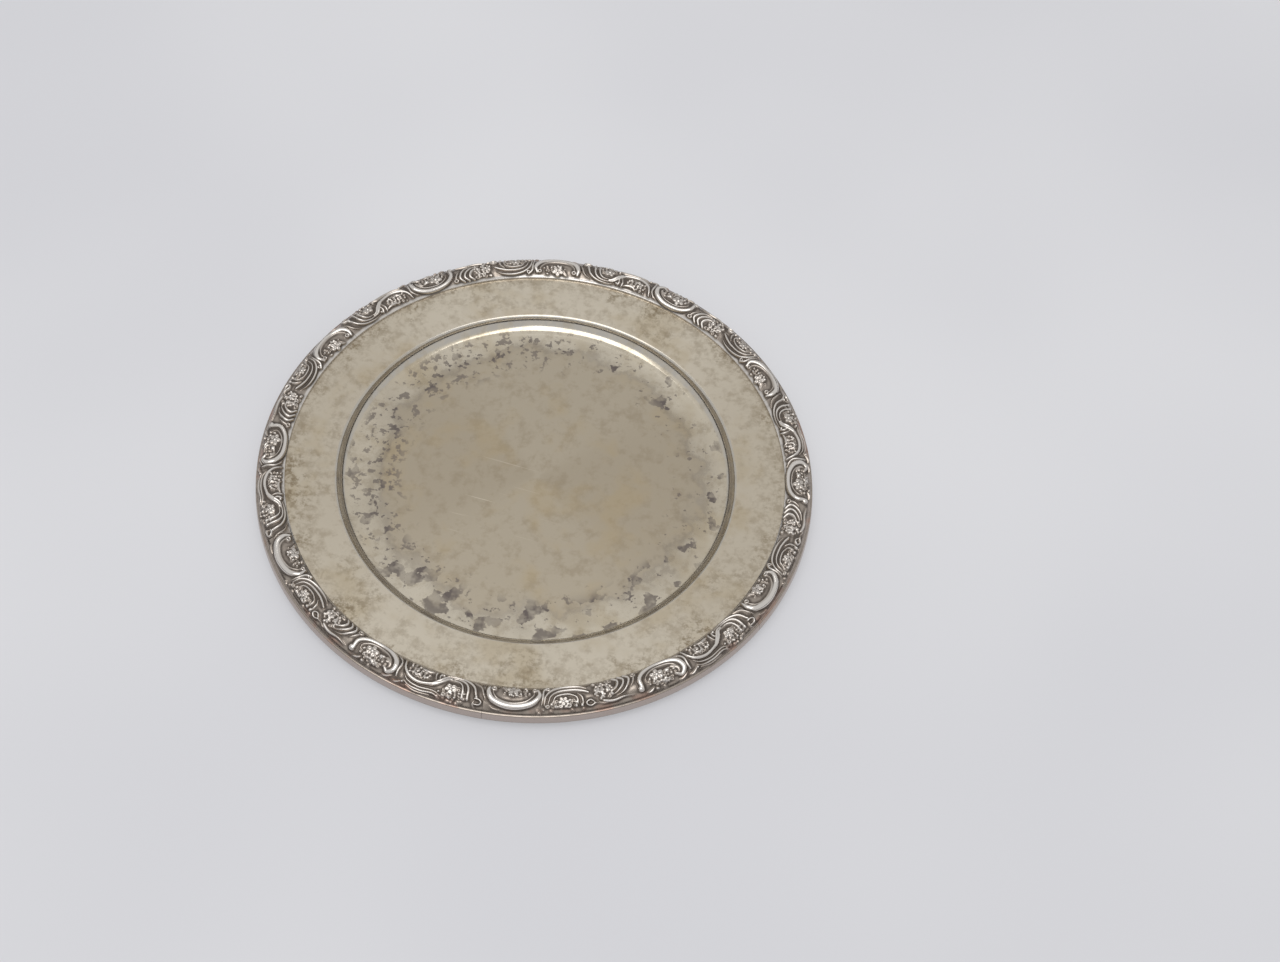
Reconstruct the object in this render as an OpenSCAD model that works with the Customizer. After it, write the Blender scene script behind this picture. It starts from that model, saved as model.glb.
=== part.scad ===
// Round coin tray of silver-plated sheet with an applied scroll-and-flower border.
// Millimetres, +Z up. The origin is at the middle of the face that the tray rests on.

/* [Dish] */
// Diameter over the border's round moulding, without its relief
plate_d = 200; // [180:1:230]
// Thickness of the spun sheet
sheet_t = 1; // [0.7:0.05:1.2]
// Diameter of the lip where the broad rim drops into the well
lip_d = 143; // [120:1:150]
// Drop from the lip to the well's floor
well_depth = 4.7; // [4:0.1:7]
// Slope of the wall between floor and rim, in degrees
wall_slope = 66; // [50:1:72]
// Radius of the cove where the wall meets the floor
cove_r = 2.5; // [2:0.1:4]
// Radius inside the bend of the lip, under the sheet
lip_bend_r = 0.4; // [0.3:0.05:1.2]
// Rise of the broad rim over each millimetre of its width
rim_slope = 0.06; // [0.03:0.005:0.09]
// Straight part of the turned-down edge below its bend
edge_straight = 0.4; // [0.2:0.05:0.8]
// Space from the moulding's outside to the turned-down edge
edge_inset = 2.3; // [1.9:0.1:3]

/* [Border] */
// Number of stamped lengths soldered end to end
strips = 6; // [5:1:7]
// Width of the border in plan
border_w = 10.6; // [9.4:0.1:11.4]
// Radius of the moulding's round section
border_r = 6.2; // [5.8:0.1:6.6]
// Upright part of the shell's inner foot, which lifts the moulding off the rim
foot_wall = 0.35; // [0.1:0.05:0.8]
// Plain skirt between the ornament and the moulding's lower edge, along its surface
skirt = 3; // [2:0.1:4]
// Height of the raised line between ornament and skirt
line_h = 0.3; // [0.2:0.05:0.5]
// Wall of the stamped moulding
strip_t = 0.8; // [0.6:0.05:1]
// Relief of the highest ornament above the moulding
relief = 1; // [0.7:0.05:1.3]
// Gap of the soldered joint between two lengths
joint_gap = 0.1; // [0.06:0.02:0.2]
// Clearance between soldered faces
solder_gap = 0.08; // [0.07:0.01:0.12]

/* [Edge wire] */
// Width of the half-round wire under the border
wire_w = 1.7; // [1.4:0.1:2.2]
// Height of the half-round wire
wire_h = 0.8; // [0.6:0.05:0.9]

/* [Hidden] */

plate_r = plate_d / 2;
border_in_r = plate_r - border_w;
moulding_r = plate_r - border_r;
// Angle of the moulding's section from its outer side to its inner edge
section_a = acos((border_in_r - moulding_r) / border_r);
section_len = border_r * section_a * PI / 180;
skirt_a = skirt / border_r * 180 / PI;
shell_r = border_r - strip_t;
bore_r = shell_r - solder_gap;
// Bare space that the solder leaves behind the shell's inner foot
fill_back = 0.4;
edge_r = plate_r - edge_inset;
strip_a = 360 / strips;
gap_a = joint_gap / plate_r * 180 / PI;
// Facets round the whole border, so that each length has its own whole number of them
border_fn = strips * 12;
// Half the angle that the raised line takes of the moulding's section
line_a = 4;
// Facets across the hollow of a length
hollow_facets = 5;
// Where the first length starts round the plate, in degrees
first_a = 29;

// The pattern is drawn on a sheet of six cells a length, each 16 wide, over a band 13.4 deep.
cells = 6;
cell_u = 16;
band_v = 13.4;
u_a = strip_a / (cells * cell_u);
v_len = (section_len - skirt) / band_v;
// Depth of each ornament's foot below the moulding's surface
foot = 0.25;

// Height of the broad rim's upper face at radius r
function rim_z(r) = sheet_t + well_depth + (r - lip_d / 2) * rim_slope;

// Unit direction from one point to another
function unit(p, q) = (q - p) / norm(q - p);

// Turning angle at a corner, positive to the left
function turn(a, b) = atan2(a[0] * b[1] - a[1] * b[0], a * b);

// Points of the arc that rounds corner p[i], moved sideways by off
function corner(p, i, r, off) =
    let (a = unit(p[i - 1], p[i]), b = unit(p[i], p[i + 1]), t = turn(a, b), s = sign(t))
    let (back = r * tan(abs(t) / 2), c = p[i] - back * a + s * r * [-a[1], a[0]])
    let (start = atan2(a[1], a[0]) - s * 90, n = ceil(abs(t) / 8))
    [for (k = [0:n]) c + (r - s * off) * [cos(start + t * k / n), sin(start + t * k / n)]];

// Where the shell's hollow starts over its inner foot, which sets how high the moulding stands
foot_r = border_in_r + strip_t;
foot_a = acos((foot_r - moulding_r) / shell_r);
border_z = rim_z(foot_r) + solder_gap + foot_wall - shell_r * sin(foot_a);

// The lip's outside radius, and the bend of the edge, which ends above its straight part
lip_r = sheet_t + lip_bend_r;
edge_turn = 90 + atan(rim_slope);
edge_bend_r = (rim_z(edge_r) - border_z - edge_straight) / tan(edge_turn / 2);

// Corners of the sheet's upper face, from the centre to the lower edge
wall_run = well_depth / tan(wall_slope);
face = [
    [0, sheet_t],
    [lip_d / 2 - wall_run, sheet_t],
    [lip_d / 2, sheet_t + well_depth],
    [edge_r, rim_z(edge_r)],
    [edge_r, border_z]
];

// The upper face with its corners rounded, moved up and outward by off
function face_line(off) = concat(
    [face[0] + [0, off]],
    corner(face, 1, cove_r, off),
    corner(face, 2, lip_r, off),
    corner(face, 3, edge_bend_r, off),
    [face[4] + [off, 0]]
);

function reverse(list) = [for (i = [len(list) - 1:-1:0]) list[i]];

function arc(c, r, from, to, n) = [
    for (k = [0:n]) let (a = n > 0 ? from + (to - from) * k / n : from) c + r * [cos(a), sin(a)]
];

module dish() {
    color("#b4aa9b")
    rotate_extrude()
    polygon(concat(face_line(0), reverse(face_line(-sheet_t))));
}

// Half-round wire, flat side up, that closes the foot of the border
module edge_wire() {
    top = border_z - solder_gap;
    color("#a89d90")
    rotate_extrude()
    translate([plate_r - wire_w / 2, top])
    polygon([for (a = [180:10:360]) [wire_w / 2 * cos(a), wire_h * sin(a)]]);
}

// Section of the stamped shell: round outside, hollow inside, one foot on the rim.
// The hollow's facets lie outside its true curve, so that they clear what fills it.
module shell_section() {
    mid = [moulding_r, border_z];
    hollow = arc(mid, shell_r / cos(foot_a / hollow_facets / 2), foot_a, 0, hollow_facets);
    polygon(concat(
        arc(mid, border_r, 0, skirt_a - line_a, 1),
        arc(mid, border_r + line_h, skirt_a, skirt_a, 0),
        arc(mid, border_r, skirt_a + line_a, section_a, 4),
        [[border_in_r, rim_z(border_in_r) + solder_gap]],
        [[foot_r, rim_z(foot_r) + solder_gap]],
        [for (p = hollow) [p[0] / cos(180 / border_fn), p[1]]]
    ));
}

// Soft solder that fills the hollow between shell and sheet
module fill_section() {
    mid = [moulding_r, border_z];
    start_r = foot_r + solder_gap + fill_back;
    start_a = acos((start_r - moulding_r) / bore_r);
    seat = corner(face, 3, edge_bend_r, solder_gap);
    polygon(concat(
        arc(mid, bore_r, 0, start_a, 10),
        [[start_r, rim_z(start_r) + solder_gap]],
        seat,
        [face[4] + [solder_gap, 0]]
    ));
}

module solder_fill(i) {
    color("#8f8a84")
    rotate(first_a + (i - 1) * strip_a + gap_a / 2)
    rotate_extrude(angle = strip_a - gap_a)
    fill_section();
}

// A point over the moulding: u along it, v across it from the inner edge, h above it
function on(u, v, h) =
    let (s = section_a - v * v_len / border_r * 180 / PI, a = u * u_a, q = border_r + h)
    let (r = moulding_r + q * cos(s))
    [r * cos(a), r * sin(a), border_z + q * sin(s)];

// A smooth curve through the points p, at t from 0 to 1
function curve(p, t) =
    let (x = t * (len(p) - 1), i = min(floor(x), len(p) - 2), f = x - i)
    let (b = p[i], c = p[i + 1], a = i > 0 ? p[i - 1] : 2 * b - c)
    let (d = i + 2 < len(p) ? p[i + 2] : 2 * c - b)
    b + 0.5 * f * (c - a + f * (2 * a - 5 * b + 4 * c - d + f * (3 * (b - c) + d - a)));

// Sections across a stroke, sideways in half widths and up in heights:
// a flat-topped scroll and a sharp rib
scroll = [[-1, 0], [-0.5, 1], [0.5, 1], [1, 0]];
rib = [[-1, 0], [0, 1], [1, 0]];

// How a stroke's width runs: tail and head are its shares at the two ends, belly its fullest place
function swell(t, tail, head, belly) = t < belly
    ? tail + (1 - tail) * sin(90 * t / belly)
    : head + (1 - head) * sin(90 * (1 - t) / (1 - belly));

// A rounded stroke of width w and height h through the points p
module stroke(p, w, h, n = 5, tail = 0.3, head = 0.3, belly = 0.5, section = rib) {
    m = len(section);
    rings = [for (k = [0:n])
        let (t = k / n, q = curve(p, t), e = 0.02, f = swell(t, tail, head, belly))
        let (d = unit(curve(p, max(t - e, 0)), curve(p, min(t + e, 1))), side = [-d[1], d[0]])
        [for (s = section)
            let (at = q + s[0] * w / 2 * f * side)
            on(at[0], at[1], s[1] * h * relief * sqrt(f) - (s[1] == 0 ? foot : 0))]
    ];
    points = [for (ring = rings) each ring];
    sides = [for (k = [0:n - 1], j = [0:m - 1])
        let (a = k * m + j, b = k * m + (j + 1) % m)
        each [[a, b + m, b], [a, a + m, b + m]]];
    polyhedron(points, concat(
        [[for (j = [0:m - 1]) j]],
        sides,
        [[for (j = [m - 1:-1:0]) n * m + j]]
    ));
}

// A rounded boss at [u, v], long one way and turned by a
module boss(c, w, h, long = 1, a = 0, n = 4) {
    rims = [[1.1, -foot], [0.6, h * relief]];
    hull()
    polyhedron(
        [for (r = rims, k = [0:n - 1])
            let (x = w / 2 * long * r[0] * cos(360 * k / n), y = w / 2 * r[0] * sin(360 * k / n))
            on(c[0] + x * cos(a) - y * sin(a), c[1] + x * sin(a) + y * cos(a), r[1])],
        [for (k = [0:n * len(rims) - 3]) [k, k + 1, k + 2]]
    );
}

// A ring with a hollow eye, which closes a little past its own start
module eye(c, r, h, stretch = 1) {
    ring = [for (a = [0:62:372]) c + r * [stretch * cos(a), sin(a)]];
    stroke(ring, 0.8 * r, h, 6, 0.8, 0.8);
}

// A flower of one lobed body that dips round the bud at its heart
module flower(c, r, h, petals = 5, a = 18) {
    n = 2 * petals;
    rims = [[1, 0.64, -foot], [0.8, 0.42, 0.8 * h], [0.3, 0.3, 0.25 * h]];
    petal_rims = [for (rim = rims, k = [0:n - 1])
        let (d = a + k * 360 / n, q = c + r * rim[k % 2] * [cos(d), sin(d)])
        on(q[0], q[1], rim[2] * (rim[2] > 0 ? relief : 1))];
    sides = [for (j = [0:1], k = [0:n - 1]) let (m = (k + 1) % n, o = j * n)
        each [[o + m, o + n + k, o + k], [o + m, o + n + m, o + n + k]]];
    polyhedron(concat(petal_rims, [on(c[0], c[1], h * relief)]), concat(
        [[for (k = [n - 1:-1:0]) k]],
        sides,
        [for (k = [0:n - 1]) [2 * n + (k + 1) % n, 3 * n, 2 * n + k]]
    ));
}

// Cell 1: a thick crescent open to the rim, with florets in its hollow
module crescent_cell() {
    path = [[1.2, 1.8], [0.9, 4.6], [3, 7.9], [8.4, 9.7], [14.4, 8.4], [17.4, 5.2], [17, 2]];
    stroke(path, 2.9, 1, 8, 0.5, 0.45, 0.5, scroll);
    boss([1.9, 1.5], 1.6, 0.8);
    boss([16.2, 1.7], 1.6, 0.8);
    flower([8.8, 3.4], 2.8, 0.9);
    boss([5.2, 2.6], 1.4, 0.7, 1.8, 60);
    boss([13, 2.8], 2, 0.8);
    stroke([[17.8, 9.4], [18.6, 5.8], [19, 3], [20.4, 1.6]], 1.5, 0.8, 4, 0.4, 0.9, 0.8);
}

// Cell 2: nested arches over a cluster of buds, ending in a pointed eye
module arches_cell() {
    outer = [[19.4, 8.2], [20.2, 4.8], [22.6, 2.2], [26.2, 1.4], [30.2, 1.8], [33.4, 3.2]];
    inner = [[21, 7.4], [22, 4.7], [24.8, 3.2], [28.6, 3.5], [32.6, 5.2]];
    stroke(outer, 1.7, 0.9, 6, 0.5, 0.3);
    stroke(inner, 1.4, 0.8, 5, 0.4, 0.8, 0.8);
    stroke([[27, 4.8], [29, 5.9], [30.2, 8.6]], 1.4, 0.7, 3, 0.4, 0.9, 0.8);
    flower([25, 7.2], 2.6, 0.8);
    boss([20.6, 9.8], 1.8, 0.8, 1.2, 20);
    boss([28, 10.4], 1.8, 0.8, 1.2, 20);
    eye([33.9, 9.1], 1.2, 0.8, 1.4);
}

// Cell 3: a flower and comma ribs over a plain hollow and a long ridge
module ribs_cell() {
    flower([38, 3.7], 3.2, 0.9);
    boss([40, 7.6], 1.6, 0.8);
    for (k = [0:2]) {
        u = 41.8 + k * 2;
        tail = [[u - 1.2, 6.2 + 0.5 * k], [u - 3, 7 + 0.7 * k]];
        path = concat([[u, 1.1], [u + 1.5, 2.9], [u + 0.9, 5]], tail);
        stroke(path, 1.6, 0.8, 4, 0.8, 0.2, 0.25);
    }
    eye([49.2, 2.3], 1, 0.7);
    stroke([[38, 9.4], [41.6, 10.1], [44.8, 9.7], [48, 10.3]], 1.8, 0.8, 4, 0.9, 0.3, 0.2);
}

// Cell 4: a tall arch that curls in at its foot round a bold flower
module arch_cell() {
    rise = [[50.6, 9], [51.2, 5.4], [53.8, 2.8], [58, 1.7], [62.4, 2.1]];
    curl = [[65.5, 4.4], [66.2, 7.6], [64.6, 9.8], [63.2, 8.8]];
    stroke(concat(rise, curl), 2.5, 1, 10, 0.7, 0.4, 0.6, scroll);
    flower([57.8, 6.2], 3.2, 0.9, 5, 54);
    boss([61.9, 5.8], 2, 0.9);
    boss([53.8, 7.8], 1.5, 0.7, 1.8, 110);
    boss([58.6, 10.8], 1.7, 0.7, 1.6, 30);
    stroke([[66, 1.2], [68.1, 4.2], [68.1, 7.6], [68.6, 10.6]], 1.3, 0.8, 4, 0.5, 0.5);
}

// Cell 5: a shallow crescent with a pointed tip over two long ridges
module ridges_cell() {
    stroke([[68, 1.2], [69.2, 5], [71.4, 7.4], [75, 8.4], [79, 7.4], [82.3, 5.1]], 1.8, 0.9, 6, 0.5, 0.5);
    stroke([[69.8, 7.8], [71.8, 9.5], [75.4, 10.2], [80.2, 9.6], [82.8, 10.7]], 1.3, 0.7, 4);
    stroke([[71.2, 10.8], [74.6, 11.9], [79.2, 11.5], [82.2, 12.2]], 1, 0.7, 3);
    flower([74, 4.1], 2.6, 0.8);
    boss([78, 3.9], 1.5, 0.7, 1.5, 110);
    stroke([[79.8, 1], [80.6, 2.6], [80.6, 4.6]], 1.2, 0.7, 2, 0.7, 0.3, 0.3);
}

// Cell 6: three ribs that run along the rim and round a cluster, ending in beads
module cluster_cell() {
    for (k = [0:2]) {
        u = 82.4 + k;
        v = 1 + 1.1 * k;
        drop = [[92.2 - 2 * k, 4.2], [92.6 - 2 * k, 8.6]];
        path = concat([[u, v + 0.4], [u + 3.4, v], [u + 7 - 0.8 * k, v + 0.7]], drop);
        stroke(path, 1.3, 0.8, 5, 0.3, 0.9, 0.75);
    }
    flower([84.6, 7.2], 2.8, 0.8);
    boss([87.2, 10.6], 1.8, 0.8);
    eye([94.4, 9.3], 1.1, 0.7);
}

// One stamped length of the border with its whole repeat of the pattern
module border_strip(i) {
    color("#c9c3ba")
    rotate(first_a + (i - 1) * strip_a)
    union() {
        rotate([0, 0, gap_a / 2])
        rotate_extrude(angle = strip_a - gap_a, $fn = border_fn)
        shell_section();
        crescent_cell();
        arches_cell();
        ribs_cell();
        arch_cell();
        ridges_cell();
        cluster_cell();
    }
}

dish();
edge_wire();
for (i = [1:strips]) {
    border_strip(i);
    solder_fill(i);
}
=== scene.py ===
"""Coin tray: a silver-plated plate with a well and a stamped scroll-and-flower border.

Everything stands in the frame of the tray's CAD model, in metres, with +Z up and
the tray's resting face at z = 0. Sizes are written in millimetres and scaled once.
"""
import logging
import math
from dataclasses import dataclass, field
from enum import Enum
from typing import Any, Iterable, Optional, Sequence, Union

import bpy
import numpy as np
from mathutils import Matrix, Vector


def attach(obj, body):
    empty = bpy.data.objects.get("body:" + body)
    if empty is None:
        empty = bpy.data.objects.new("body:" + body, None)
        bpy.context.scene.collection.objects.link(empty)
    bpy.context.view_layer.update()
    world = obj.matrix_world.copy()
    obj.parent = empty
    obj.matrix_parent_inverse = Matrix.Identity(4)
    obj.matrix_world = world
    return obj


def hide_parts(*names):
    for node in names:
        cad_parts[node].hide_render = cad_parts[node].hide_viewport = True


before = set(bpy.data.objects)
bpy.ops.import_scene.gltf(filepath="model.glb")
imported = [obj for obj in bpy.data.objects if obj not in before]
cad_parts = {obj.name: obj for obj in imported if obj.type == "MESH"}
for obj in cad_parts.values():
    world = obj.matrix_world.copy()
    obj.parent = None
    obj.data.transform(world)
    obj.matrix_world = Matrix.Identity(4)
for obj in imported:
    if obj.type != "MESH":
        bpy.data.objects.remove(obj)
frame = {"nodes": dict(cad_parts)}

LOG = logging.getLogger("coin_tray")
MM = 0.001
Point = tuple[float, float]
Colour = tuple[float, float, float, float]


def tint(red: int, green: int, blue: int) -> Colour:
    """Turn a screen colour into the linear colour that shaders work with.

    Args:
        red: Red from 0 to 255.
        green: Green from 0 to 255.
        blue: Blue from 0 to 255.

    Returns:
        Linear red, green and blue, with full alpha.
    """
    shares = [c / 255 for c in (red, green, blue)]
    line = [s / 12.92 if s <= 0.04045 else ((s + 0.055) / 1.055) ** 2.4 for s in shares]
    return (line[0], line[1], line[2], 1.0)


# ---- Node trees


class Signal:
    """A value on its way between two nodes, with Python's own arithmetic."""

    def __init__(self, bench: "Bench", socket: bpy.types.NodeSocket) -> None:
        """Hold the socket that gives the value."""
        self.bench = bench
        self.socket = socket

    def _math(self, operation: str, *values: "Value", clamp: bool = False) -> "Signal":
        """Add one Math node.

        Args:
            operation: The Math node's operation.
            values: Its operands, in order.
            clamp: Whether the result is held between 0 and 1.

        Returns:
            The result.
        """
        settings = {"operation": operation, "use_clamp": clamp}
        return self.bench.add("ShaderNodeMath", settings, dict(enumerate(values)))

    def __add__(self, other: "Value") -> "Signal":
        """Return this plus other."""
        return self._math("ADD", self, other)

    def __radd__(self, other: "Value") -> "Signal":
        """Return other plus this."""
        return self._math("ADD", other, self)

    def __sub__(self, other: "Value") -> "Signal":
        """Return this less other."""
        return self._math("SUBTRACT", self, other)

    def __rsub__(self, other: "Value") -> "Signal":
        """Return other less this."""
        return self._math("SUBTRACT", other, self)

    def __mul__(self, other: "Value") -> "Signal":
        """Return this times other."""
        return self._math("MULTIPLY", self, other)

    def __rmul__(self, other: "Value") -> "Signal":
        """Return other times this."""
        return self._math("MULTIPLY", other, self)

    def __truediv__(self, other: "Value") -> "Signal":
        """Return this over other."""
        return self._math("DIVIDE", self, other)

    def __pow__(self, other: "Value") -> "Signal":
        """Return this to the power of other."""
        return self._math("POWER", self, other)

    def clamp(self) -> "Signal":
        """Hold the value between 0 and 1."""
        return self._math("ADD", self, 0.0, clamp=True)

    def most(self, other: "Value") -> "Signal":
        """Return the greater of this and other."""
        return self._math("MAXIMUM", self, other)

    def cos(self) -> "Signal":
        """Return the cosine."""
        return self._math("COSINE", self)

    def sin(self) -> "Signal":
        """Return the sine."""
        return self._math("SINE", self)

    def rise(self, low: float, high: float) -> "Signal":
        """Return 0 below low and 1 above high, with a smooth step between them.

        Args:
            low: Where the step starts.
            high: Where it ends; below low for a step down.

        Returns:
            The step.
        """
        down = low > high
        ends = (high, low) if down else (low, high)
        values = {"Value": self, "From Min": ends[0], "From Max": ends[1]}
        step = self.bench.add("ShaderNodeMapRange", {"interpolation_type": "SMOOTHSTEP"}, values)
        return 1.0 - step if down else step


Value = Union[Signal, float]


class Bench:
    """A node tree that is being wired."""

    def __init__(self, tree: bpy.types.NodeTree) -> None:
        """Start on a tree."""
        self.tree = tree

    @staticmethod
    def _find(sockets: Iterable[bpy.types.NodeSocket], key: Union[int, str]) -> bpy.types.NodeSocket:
        """Return the socket with this place, identifier or name."""
        if isinstance(key, int):
            return list(sockets)[key]
        for socket in sockets:
            if socket.identifier == key:
                return socket
        return next(s for s in sockets if s.name == key and s.enabled)

    def add(
        self,
        kind: str,
        settings: Optional[dict[str, Any]] = None,
        values: Optional[dict[Union[int, str], Any]] = None,
        output: Union[int, str] = 0,
    ) -> Signal:
        """Add a node.

        Args:
            kind: The node's type.
            settings: Its own settings; "stops" holds a ramp's positions and colours.
            values: What its sockets get, by place, identifier or name: a value or a signal.
            output: Which output is returned.

        Returns:
            That output as a signal.
        """
        node = self.tree.nodes.new(kind)
        for name, setting in (settings or {}).items():
            if name == "stops":
                for place, colour in setting[2:]:
                    node.color_ramp.elements.new(place)
                for element, (place, colour) in zip(node.color_ramp.elements, sorted(setting)):
                    element.position, element.color = place, colour
            else:
                setattr(node, name, setting)
        for key, value in (values or {}).items():
            socket = self._find(node.inputs, key)
            if isinstance(value, Signal):
                self.tree.links.new(value.socket, socket)
            else:
                socket.default_value = value
        return Signal(self, self._find(node.outputs, output)) if len(node.outputs) else Signal(self, None)

    def blend(self, share: Value, first: Any, second: Any, how: str = "MIX") -> Signal:
        """Mix two colours.

        Args:
            share: How much of the second is taken.
            first: Colour or signal.
            second: Colour or signal.
            how: The way they mix.

        Returns:
            The mixed colour.
        """
        values = {"Factor_Float": share, "A_Color": first, "B_Color": second}
        return self.add("ShaderNodeMix", {"data_type": "RGBA", "blend_type": how}, values, "Result_Color")

    def noise(
        self, place: Signal, size: float, detail: float = 3.0, rough: float = 0.55, warp: float = 0.0
    ) -> Signal:
        """Add a cloudy pattern.

        Args:
            place: Coordinates in millimetres.
            size: Size of its largest clouds in millimetres.
            detail: How many finer layers it has.
            rough: How strong those are.
            warp: How far it folds over itself.

        Returns:
            The pattern, mostly between 0.3 and 0.7.
        """
        values = {"Vector": place, "Scale": 1 / size, "Detail": detail, "Roughness": rough, "Distortion": warp}
        return self.add("ShaderNodeTexNoise", {"noise_dimensions": "3D"}, values)

    def mapped(self, place: Signal, turn: float = 0.0, scale: Sequence[float] = (1, 1, 1), shift: Sequence[float] = (0, 0, 0)) -> Signal:
        """Turn, stretch and move coordinates.

        Args:
            place: Coordinates.
            turn: Turn about the upright axis in degrees.
            scale: Scale along each axis after the turn.
            shift: Move after that.

        Returns:
            The new coordinates.
        """
        turned = self.add("ShaderNodeMapping", None, {"Vector": place, "Rotation": (0, 0, math.radians(turn))})
        return self.add("ShaderNodeMapping", None, {"Vector": turned, "Scale": tuple(scale), "Location": tuple(shift)})


# ---- Sizes and section lines


@dataclass(frozen=True)
class TraySizes:
    """The tray's sizes in millimetres, as its CAD source has them but for the softer cove."""

    plate_r: float = 100.0
    sheet_t: float = 1.0
    lip_ring_r: float = 71.5
    well_depth: float = 4.7
    wall_slope: float = 66.0
    cove_r: float = 6.0
    lip_bend_r: float = 0.4
    rim_slope: float = 0.06
    edge_straight: float = 0.4
    edge_inset: float = 2.3
    strips: int = 6
    border_w: float = 10.6
    border_r: float = 6.2
    foot_wall: float = 0.35
    skirt: float = 3.0
    line_h: float = 0.3
    strip_t: float = 0.8
    relief: float = 1.0
    joint_gap: float = 0.1
    solder_gap: float = 0.08
    wire_w: float = 1.7
    wire_h: float = 0.8
    inside: float = 0.03  # how far the render model stays inside the CAD box, whose rounds are facets
    first_a: float = 29.0
    sheet_u: float = 96.0
    sheet_v: float = 13.4

    @property
    def border_in_r(self) -> float:
        """Radius of the border's inner edge."""
        return self.plate_r - self.border_w

    @property
    def moulding_r(self) -> float:
        """Radius on which the moulding's round section is centred."""
        return self.plate_r - self.border_r

    @property
    def section_a(self) -> float:
        """Angle in radians of the moulding's section from outside to inner edge."""
        return math.acos((self.border_in_r - self.moulding_r) / self.border_r)

    @property
    def section_len(self) -> float:
        """Length of the moulding's section round its surface."""
        return self.border_r * self.section_a

    @property
    def v_len(self) -> float:
        """Length over the moulding that one step down the pattern sheet takes."""
        return (self.section_len - self.skirt) / self.sheet_v

    @property
    def shell_r(self) -> float:
        """Radius of the moulding's hollow."""
        return self.border_r - self.strip_t

    @property
    def foot_r(self) -> float:
        """Radius where the hollow starts over the moulding's inner foot."""
        return self.border_in_r + self.strip_t

    @property
    def foot_a(self) -> float:
        """Angle in radians of the hollow's section at its inner foot."""
        return math.acos((self.foot_r - self.moulding_r) / self.shell_r)

    @property
    def border_z(self) -> float:
        """Height of the moulding's lower edge."""
        return self.rim_z(self.foot_r) + self.solder_gap + self.foot_wall - self.shell_r * math.sin(self.foot_a)

    @property
    def lip_r(self) -> float:
        """Outside radius of the lip's bend."""
        return self.sheet_t + self.lip_bend_r

    @property
    def edge_r(self) -> float:
        """Radius of the turned-down edge."""
        return self.plate_r - self.edge_inset

    @property
    def edge_bend_r(self) -> float:
        """Radius of the turned-down edge's bend."""
        turn = math.pi / 2 + math.atan(self.rim_slope)
        return (self.rim_z(self.edge_r) - self.border_z - self.edge_straight) / math.tan(turn / 2)

    @property
    def strip_a(self) -> float:
        """Angle in radians that one stamped length takes."""
        return 2 * math.pi / self.strips

    def rim_z(self, r: float) -> float:
        """Return the height of the broad rim's upper face at radius r."""
        return self.sheet_t + self.well_depth + (r - self.lip_ring_r) * self.rim_slope


def rounded(corners: Sequence[Point], radii: dict[int, float], off: float, step: float = 3.0) -> list[Point]:
    """Round the corners of a section line and move it sideways.

    Args:
        corners: The line's corners.
        radii: Rounding radius by corner number.
        off: How far the line is moved to its left.
        step: Degrees between the points of a rounding.

    Returns:
        The points of the rounded line between its first and last corner, without these.
    """
    points: list[Point] = []
    line = [np.array(c, float) for c in corners]
    for i, radius in radii.items():
        a, b = line[i] - line[i - 1], line[i + 1] - line[i]
        a, b = a / np.linalg.norm(a), b / np.linalg.norm(b)
        bend = math.atan2(a[0] * b[1] - a[1] * b[0], float(a @ b))
        side = math.copysign(1, bend)
        centre = line[i] - radius * math.tan(abs(bend) / 2) * a + side * radius * np.array([-a[1], a[0]])
        start = math.atan2(a[1], a[0]) - side * math.pi / 2
        count = max(2, math.ceil(abs(math.degrees(bend)) / step))
        for k in range(count + 1):
            angle = start + bend * k / count
            reach = radius - side * off
            points.append((centre[0] + reach * math.cos(angle), centre[1] + reach * math.sin(angle)))
    return points


def fill_in(points: Sequence[Point], longest: float) -> list[Point]:
    """Split the long steps of a section line.

    Args:
        points: The line's points.
        longest: The longest step that stays whole.

    Returns:
        The line with its added points.
    """
    line = [points[0]]
    for a, b in zip(points, points[1:]):
        count = max(1, math.ceil(math.dist(a, b) / longest))
        line += [(a[0] + (b[0] - a[0]) * k / count, a[1] + (b[1] - a[1]) * k / count) for k in range(1, count + 1)]
    return line


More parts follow.
